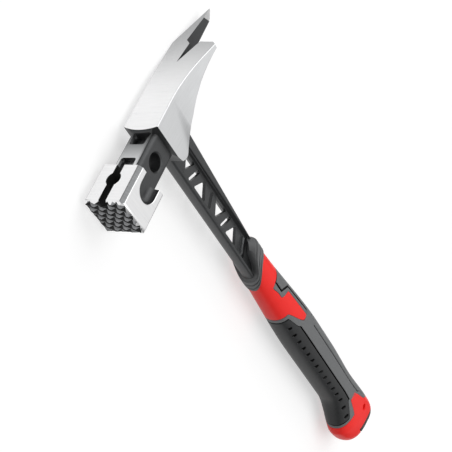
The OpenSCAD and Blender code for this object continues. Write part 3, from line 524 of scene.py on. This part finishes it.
def thumb_edge(l):
    """Angle of the thumb rest's edge: it leans a little, then steps back towards the rear."""
    return (THUMB_DEG + THUMB_LEAN * ease((l - thumb_l - THUMB_SLANT) / THUMB_SLANT)
            + THUMB_STEP * ease((l - step_l) / STEP_LENGTH))


def red_end(a):
    """Lower end of the red sleeve: level at the front and lower behind."""
    return red_l + RED_FALL * ease((fold(a) - RED_DEG) / RED_SWEEP)


def toward_edge(a, edge):
    """Angles stretched so that the net's own edge column lies on the thumb rest's edge."""
    side = fold(a)
    bent = np.where(side <= THUMB_DEG, side * edge / THUMB_DEG,
                    180 - (180 - side) * (180 - edge) / (180 - THUMB_DEG))
    return np.where(a > 180, 360 - bent, bent)


def throat_net(row_cells, angle_cells):
    """Net over the throat: rows from the collar to the red sleeve's end, columns gathered at the thumb's
    edge. The thumb rest's cells start below the third span of rows."""
    margin = turn_of(EDGE, THROAT_W / 2)
    a = full_turn(between((0, THUMB_DEG - margin, THUMB_DEG, THUMB_DEG + margin, 180), angle_cells))
    thumb_top = thumb_l + THUMB_SLANT * np.minimum(1, (180 - fold(a)) / (180 - THUMB_DEG))
    collar_end = COLLAR_L + COLLAR_LENGTH + collar_fall(a)
    end = red_end(toward_edge(a, thumb_edge(step_l + STEP_LENGTH)))
    l = between((collar_end, collar_end + EDGE, thumb_top - EDGE, thumb_top, thumb_top + EDGE, step_l,
                 step_l + STEP_LENGTH, end - EDGE, end), row_cells)
    below_top = np.arange(len(l) - 1) >= sum(row_cells[:3])
    return l, toward_edge(a, thumb_edge(l)), below_top[:, None] & (cell_sides(a) > THUMB_DEG)


# Moulded red plastic is a strong, even colour with a satin shine. Soft-grip rubber is a mid grey with a
# fine grain left by the mould; 1.2 mm is as fine as shows.
red_plastic = grained("moulded_red_plastic", "#f7211c", "#ff2c26",
                      grain_mm=6, rough=(0.36, 0.44), bump=0.02, Specular_IOR_Level=0.3)
grey_rubber = grained("grey_soft_grip", "#585a5b", "#747576",
                      grain_mm=1.2, rough=(0.42, 0.6), bump=0.05)
l, a, in_thumb = throat_net(row_cells=(EDGE_CELLS, 14, EDGE_CELLS, EDGE_CELLS, 14, 12, 24, EDGE_CELLS),
                            angle_cells=(24, EDGE_CELLS, EDGE_CELLS, 26))
throat = moulding("throat", l, a, ~in_thumb, on_grip, red_plastic)
shown("red_throat", throat, "red_plastic", "throat_sleeve")

# The groove's path, as places down the grip and degrees from the front.
THUMB_GROOVE_L, THUMB_GROOVE_DEG = (160.5, 166.6, 177, 182.8, 214), (175, 86, 85, 118, 119)
THUMB_GROOVE_DEPTH, THUMB_GROOVE_WIDTH, THUMB_GROOVE_POINTS = 0.8, 0.7, 300
l, a, in_thumb = throat_net(row_cells=(1, 1, 1, EDGE_CELLS, 46, 14, 90, EDGE_CELLS),
                            angle_cells=(1, 1, EDGE_CELLS, 64))
knots = np.arange(len(THUMB_GROOVE_L))
steps = np.linspace(0, knots[-1], THUMB_GROOVE_POINTS)
path_l, path_a = (np.interp(steps, knots, values) for values in (THUMB_GROOVE_L, THUMB_GROOVE_DEG))
path = np.concatenate((on_grip(path_l, path_a), on_grip(path_l, 360 - path_a)))
groove = THUMB_GROOVE_DEPTH * np.exp(-(nearest(on_grip(l, a), path) / THUMB_GROOVE_WIDTH) ** 2)
# The groove's deepest cells are painted in the core's black, a painted shade.
thumb = moulding("thumb", l, a, in_thumb, on_grip, grey_rubber, sink=groove)
shown("grey_thumb_rest", thumb, "grey_rubber", "thumb_rest")

# Palm: a frame of grey soft rubber, moulded on the core, runs round a slotted pad at the front, painted
# dark as shade, and a grey strip at the rear. Open grooves part them, down to the core.
PAD_DEG, STRIP_DEG, PAD_GAP, CORNER, CORNER_DEG, STRIP_FALL = 67, 105, 0.8, 14, 19, 0.5
TONGUE_RISE, TONGUE_DEG, TONGUE_SWEEP, TONGUE_END_DEG, TONGUE_END_SWEEP = 14, 65, 9, 88, 20
HEEL_FALL, HEEL_DEG, HEEL_SWEEP = 10, 90, 40
pad_l, pad_end_l, strip_l, strip_end_l, butt_top_l = (
    along(share) for share in (0.295, 0.845, 0.395, 0.88, 0.857))


def window_row(a, pad, strip, fall, strip_fall):
    """A window's edge: level on the pad and on the strip, with round corners, and a slant between them."""
    side = fold(a)
    pad_row = pad + fall * CORNER * ease(1 - np.abs(side - PAD_DEG) / CORNER_DEG)
    strip_row = strip + strip_fall * CORNER * ease(1 - np.abs(side - STRIP_DEG) / CORNER_DEG)
    t = np.clip((side - PAD_DEG) / (STRIP_DEG - PAD_DEG), 0, 1)
    bar = (pad + fall * CORNER) * (1 - t) + (strip + strip_fall * CORNER) * t
    return np.where(side <= PAD_DEG, pad_row, np.where(side >= STRIP_DEG, strip_row, bar))


def butt_top(a):
    """Top of the red butt: a tongue rises on each side, and the edge falls again towards the heel."""
    side = fold(a)
    tongue = ease((side - TONGUE_DEG) / TONGUE_SWEEP) - ease((side - TONGUE_END_DEG) / TONGUE_END_SWEEP)
    return butt_top_l + HEEL_FALL * ease((side - HEEL_DEG) / HEEL_SWEEP) - TONGUE_RISE * tongue


def palm_net(row_cells, marks, angle_cells):
    """Net over the palm: rows from the red sleeve through both edges of the windows to the butt. With it
    come each cell's degrees from the front, the rows of the windows and the rows of what fills them."""
    a = full_turn(between(marks, angle_cells))
    top = window_row(a, pad_l, strip_l, 1, STRIP_FALL)
    end = window_row(a, pad_end_l, strip_end_l, -1, -1)
    first, last = red_end(a) + 2 * SEAT, butt_top(a) - SEAT
    l = between((first, first + EDGE, top - PAD_GAP - EDGE, top - PAD_GAP, top, top + EDGE, end - EDGE, end,
                 end + PAD_GAP, end + PAD_GAP + EDGE, last - EDGE, last), row_cells)
    row = np.arange(len(l) - 1)[:, None]
    _, _, window, filling, _, _, filling_end, window_end, *_ = np.cumsum(row_cells)
    return (l, np.broadcast_to(a, l.shape), cell_sides(a), (row >= window) & (row < window_end),
            (row >= filling) & (row < filling_end))


gap_deg, edge_deg = turn_of(PAD_GAP, PALM_W / 2), turn_of(EDGE, PALM_W / 2)
pad_side, strip_side = PAD_DEG + gap_deg, STRIP_DEG - gap_deg
frame_marks = (0, PAD_DEG - CORNER_DEG, PAD_DEG, pad_side, pad_side + edge_deg, strip_side - edge_deg,
               strip_side, STRIP_DEG, STRIP_DEG + CORNER_DEG, 180)
l, a, side, in_window, _ = palm_net(
    row_cells=(EDGE_CELLS, 8, EDGE_CELLS, 1, 1, 80, 1, 1, EDGE_CELLS, 8, EDGE_CELLS), marks=frame_marks,
    angle_cells=(10, 14, 1, EDGE_CELLS, 10, EDGE_CELLS, 1, 14, 16))
in_frame = ~(in_window & ((side < pad_side) | (side > strip_side)))
shown("grey_frame", moulding("frame", l, a, in_frame, on_grip, grey_rubber), "grey_rubber", "grip_frame")

# The pad's rubber is painted nearly black, a painted shade for the front of the grip, with the same grain
# and less shine. Its slots lie in a band of degrees where the net is finest. They are given as shares of
# the pad's length and as degrees from the front.
SLOTS, SLOT_W, SLOT_L, SLOT_DEPTH, SLOT_ROUND, SLOT_WALL = 15, 3.6, 2.1, 1.3, 0.2, 0.6
SLOT_FIRST, SLOT_LAST, SLOT_FIRST_DEG, SLOT_LAST_DEG, SLOT_BAND = 0.063, 0.973, 36.5, 43, (31, 49)
# Nearly black: a painted shade for the pad on the front of the grip.
pad_rubber = grained("pad_rubber_painted_shade", "#1f2021", "#343536",
                     grain_mm=1.2, rough=(0.36, 0.5), bump=0.05, Specular_IOR_Level=0.3)
l, a, side, _, in_filling = palm_net(row_cells=(1, 1, 1, 1, EDGE_CELLS, 320, EDGE_CELLS, 1, 1, 1, 1),
                                     marks=(0, *SLOT_BAND, PAD_DEG - edge_deg, PAD_DEG, 180),
                                     angle_cells=(14, 30, 16, EDGE_CELLS, 4))
share = (l - pad_l) / (pad_end_l - pad_l)
slot_number = np.clip(np.round((share - SLOT_FIRST) / (SLOT_LAST - SLOT_FIRST) * (SLOTS - 1)), 0, SLOTS - 1)
slot_share = SLOT_FIRST + (SLOT_LAST - SLOT_FIRST) * slot_number / (SLOTS - 1)
slot_deg = SLOT_FIRST_DEG + (SLOT_LAST_DEG - SLOT_FIRST_DEG) * slot_number / (SLOTS - 1)
off_l = (share - slot_share) * (pad_end_l - pad_l)
off_w = (fold(a) - slot_deg) * math.pi / 180 * PALM_W / 2
past = np.maximum(np.abs(off_w) - (SLOT_W - SLOT_L) / 2, 0)
slots = SLOT_DEPTH * ease((SLOT_L / 2 + SLOT_ROUND - np.hypot(past, off_l)) / SLOT_WALL)
# The slots' floors are painted in the core's black, a painted shade.
pad = moulding("pad", l, a, in_filling & (side < PAD_DEG), on_grip, pad_rubber, sink=slots)
shown("slotted_pad", pad, "dark_rubber", "front_pad")

l, a, side, _, in_filling = palm_net(
    row_cells=(1, 1, 1, 1, EDGE_CELLS, 90, EDGE_CELLS, 1, 1, 1, 1),
    marks=(0, STRIP_DEG, STRIP_DEG + edge_deg, STRIP_DEG + CORNER_DEG, 180),
    angle_cells=(4, EDGE_CELLS, 14, 18))
strip = moulding("strip", l, a, in_filling & (side > STRIP_DEG), on_grip, grey_rubber)
shown("grey_strip", strip, "grey_rubber", "rear_strip")

# Butt: a hard red plastic cap closes the grip with a leaning dome. A hole for a lanyard is drilled through
# it, and a soft black rubber bumper fills a pocket in the rear of the dome.
DOME_L, DOME_LEAN, DOME_END, DOME_POWER = 23, 6, 0.92, 0.75
BUMPER_DEG, BUMPER_FIRST, BUMPER_LAST, BUMPER_T = 62, 0.24, 0.84, 2
POCKET_GAP, POCKET_WALL = 0.25, 0.7  # the wall lies between the whole gap and half of it
LANYARD_D, LANYARD_L, TANG_END_L, DRILL_STEPS = 5, 24.6, 332.4, 48
TONGUE_BAND = (55, 92)  # degrees between which the net is finer
rim_l = BUTT_L - DOME_L
dome_full_l = DOME_L / math.sin(math.pi / 2 * DOME_END) ** DOME_POWER
dome_x = on_grip(np.full(2, rim_l), np.array((0.0, 180.0)))[:, 0].mean()


def on_dome(t, a, lift=0.0):
    """A place on the dome: t is 0 at its rim and 1 at the very end. The rim shrinks towards the dome's
    middle as a power of a cosine and sinks as the same power of a sine."""
    quarter = math.pi / 2
    shrink = np.maximum(np.cos(quarter * t), 0) ** DOME_POWER
    sunk = np.sin(quarter * t) ** DOME_POWER
    lean = DOME_LEAN * power(np.cos(np.radians(a)))
    edge = on_grip(rim_l - lean, a, lift * shrink)
    x = dome_x + (edge[..., 0] - dome_x) * shrink
    y = (top_y - rim_l + lean * shrink - (dome_full_l + lift) * sunk) * MM
    z = middle_z * MM + (edge[..., 2] - middle_z * MM) * shrink
    return np.stack(np.broadcast_arrays(x, y, z), -1)


gap_share, pocket_deg = POCKET_GAP / DOME_L, turn_of(POCKET_GAP, PALM_W / 4)
a = full_turn(between((0, TONGUE_BAND[0], BUMPER_DEG - pocket_deg, BUMPER_DEG - pocket_deg / 2,
                       TONGUE_BAND[1], 180), (24, 4, 1, 14, 24)))
top = butt_top(a)
body = between((top + EDGE, rim_l - DOME_LEAN * power(np.cos(np.radians(a)))), (26,))[:-1]
t = between((0, BUMPER_FIRST - gap_share, BUMPER_FIRST - gap_share / 2, BUMPER_LAST + gap_share / 2,
             BUMPER_LAST + gap_share, 1), (12, 1, 22, 1, 8))[:, None]
pocket = ((t > BUMPER_FIRST - POCKET_WALL * gap_share) & (t < BUMPER_LAST + POCKET_WALL * gap_share)
          & (fold(a) > BUMPER_DEG - POCKET_WALL * pocket_deg))
round_off = np.linspace(0, math.pi / 2, EDGE_CELLS + 1)[:, None]
plug = on_grip(np.full_like(a, TANG_END_L + SKIN + SEAT), a, -SKIN - SEAT)[None]
rings = np.concatenate((
    closed(plug), plug, on_grip(top, a, -SKIN - SEAT)[None],
    on_grip(top + EDGE * (1 - np.cos(round_off)), a, EDGE * (np.sin(round_off) - 1)),
    on_grip(body, a), on_dome(t, a, np.where(pocket, -BUMPER_T - POCKET_GAP, 0.0))))
butt = shown("red_butt", ringed("butt", rings, red_plastic), "red_plastic", "butt_cap")

# The drill for the lanyard hole is wider at both ends, so that it leaves the hole countersunk. It is given
# as shares of the butt's width and of the hole's radius.
drill_out = np.array((1, 1, 0.53, 0.47, -0.47, -0.53, -1, -1))[:, None] * BUTT_W
drill_r = np.array((0, 1.6, 1.3, 1, 1, 1.3, 1.6, 0))[:, None] * LANYARD_D / 2
angle = np.linspace(0, 2 * math.pi, DRILL_STEPS, endpoint=False)
drill_rings = placed(AXIS_H + drill_r * np.cos(angle), BUTT_L - LANYARD_L + drill_r * np.sin(angle),
                     drill_out)
drill = bpy.data.objects.new("drill", ringed("drill", drill_rings, red_plastic))
bpy.context.scene.collection.objects.link(drill)
bore = butt.modifiers.new("lanyard hole", "BOOLEAN")
bore.operation = "DIFFERENCE"
bore.object = drill
bored = bpy.data.meshes.new_from_object(butt.evaluated_get(bpy.context.evaluated_depsgraph_get()))
butt.modifiers.clear()
butt.data = bored
bpy.data.objects.remove(drill)

# The bumper's rubber is nearly black and dull. Its net doesn't go all the way round, so the last column of
# cells, which would close the turn, is left out.
bumper_rubber = grained("bumper_rubber", "#1f2021", "#2b2c2d",
                        grain_mm=0.9, rough=(0.5, 0.65), bump=0.05)
edge_share, bumper_edge_deg = EDGE / DOME_L, turn_of(EDGE, PALM_W / 4)
t = between((BUMPER_FIRST, BUMPER_FIRST + edge_share, BUMPER_LAST - edge_share, BUMPER_LAST),
            (EDGE_CELLS, 22, EDGE_CELLS))
a = between((BUMPER_DEG, BUMPER_DEG + bumper_edge_deg, 360 - BUMPER_DEG - bumper_edge_deg,
             360 - BUMPER_DEG), (EDGE_CELLS, 60, EDGE_CELLS))
t, a = np.meshgrid(t, a, indexing="ij")
kept = np.ones((t.shape[0] - 1, t.shape[1]), bool)
kept[:, -1] = False
bumper = moulding("bumper", t, a, kept, on_dome, bumper_rubber, depth=BUMPER_T)
shown("black_bumper", bumper, "dark_rubber", "butt_bumper")

# Camera: stands above and in front of the right side of the head, at the photograph's angle. Its place and
# its axes were found once from the block's corners, for a square picture of 452 pixels a side.
PICTURE_PX, FOCAL_PX, SENSOR = 452, 1000, 36
CAMERA_H, CAMERA_L, CAMERA_W = -246.6, -328.4, 347.8
forward = np.array((0.4884, -0.6811, -0.5455))
picture_down = np.array((-0.7951, -0.6049, 0.0433))
picture_right = np.cross(picture_down, forward)
camera_data = bpy.data.cameras.new("camera")
camera_data.sensor_width = SENSOR
camera_data.lens = SENSOR * FOCAL_PX / PICTURE_PX
camera = bpy.data.objects.new("camera", camera_data)
bpy.context.scene.collection.objects.link(camera)
turn = Matrix(np.stack((picture_right, -picture_down, -forward), 1).tolist()).to_4x4()
camera.matrix_world = Matrix.Translation(placed(CAMERA_H, CAMERA_L, CAMERA_W).tolist()) @ turn
bpy.context.scene.camera = camera

# Studio: a white paper floor under the hammer, a surround that mirrors see as bright overhead and dark at
# the horizon, and two broad soft lamps. The floor gives part of its white off by itself to the camera and
# to mirrors, so that shadows on it stay soft.
FLOOR_HALF, FLOOR_GLOW = 6.0, 0.55
SURROUND_LIGHT, OVERHEAD, HORIZON = 0.36, 0.9, 0.08
HORIZON_HEIGHT, OVERHEAD_HEIGHT = 0.2, 0.52
NUMBER_A, NUMBER_B, NUMBER_RESULT = 2, 3, 0  # sockets of a Mix node for numbers
LAMPS = {"key": ((0.0, 0.1, 0.95), 1.3), "rear": ((0.75, 0.4, 0.6), 0.7)}  # the way to each, its strength
LAMP_SPREAD_DEG = 60
WHITE = (1, 1, 1, 1)


def seen_directly(tree):
    """1 for rays that come from the camera, a mirror or a clear body, else 0."""
    rays = add(tree, "ShaderNodeLightPath").outputs
    seen = add(tree, "ShaderNodeMath", {0: rays["Is Camera Ray"], 1: rays["Is Glossy Ray"]},
               operation="MAXIMUM")
    seen = add(tree, "ShaderNodeMath", {0: seen.outputs[0], 1: rays["Is Transmission Ray"]},
               operation="MAXIMUM")
    return seen.outputs[0]


floor_mesh = bpy.data.meshes.new("floor")
floor_corners = np.array(((-1, -1, 0), (1, -1, 0), (1, 1, 0), (-1, 1, 0))) * FLOOR_HALF
floor_mesh.from_pydata(floor_corners.tolist(), [], [(0, 1, 2, 3)])
floor = bpy.data.objects.new("floor", floor_mesh)
bpy.context.scene.collection.objects.link(floor)
paper, tree, shader = surface("white_paper", Base_Color=linear("#c2c2c2"), Roughness=1.0,
                              Specular_IOR_Level=0.0, Emission_Color=WHITE)
glow = add(tree, "ShaderNodeMath", {0: seen_directly(tree), 1: FLOOR_GLOW}, operation="MULTIPLY")
tree.links.new(glow.outputs[0], shader.inputs["Emission Strength"])
floor_mesh.materials.append(paper)
world = bpy.data.worlds.new("surround")
bpy.context.scene.world = world
world.use_nodes = True
tree = world.node_tree
way = add(tree, "ShaderNodeTexCoord").outputs["Generated"]
height = add(tree, "ShaderNodeSeparateXYZ", {"Vector": way}).outputs["Z"]
mirrored = add(tree, "ShaderNodeMapRange",
               {"Value": height, "From Min": HORIZON_HEIGHT, "From Max": OVERHEAD_HEIGHT,
                "To Min": HORIZON, "To Max": OVERHEAD}, interpolation_type="SMOOTHSTEP")
level = add(tree, "ShaderNodeMix", {MIX_SHARE: seen_directly(tree), NUMBER_A: SURROUND_LIGHT,
                                    NUMBER_B: mirrored.outputs["Result"]})
tree.links.new(level.outputs[NUMBER_RESULT], tree.nodes["Background"].inputs["Strength"])
tree.nodes["Background"].inputs["Color"].default_value = WHITE
for lamp_name, (toward, strength) in LAMPS.items():
    lamp_data = bpy.data.lights.new(lamp_name, "SUN")
    lamp_data.energy = strength
    lamp_data.angle = math.radians(LAMP_SPREAD_DEG)
    lamp = bpy.data.objects.new(lamp_name, lamp_data)
    lamp.rotation_mode = "QUATERNION"
    lamp.rotation_quaternion = Vector(toward).to_track_quat("Z", "Y")
    bpy.context.scene.collection.objects.link(lamp)
bpy.context.scene.view_settings.view_transform = "Standard"
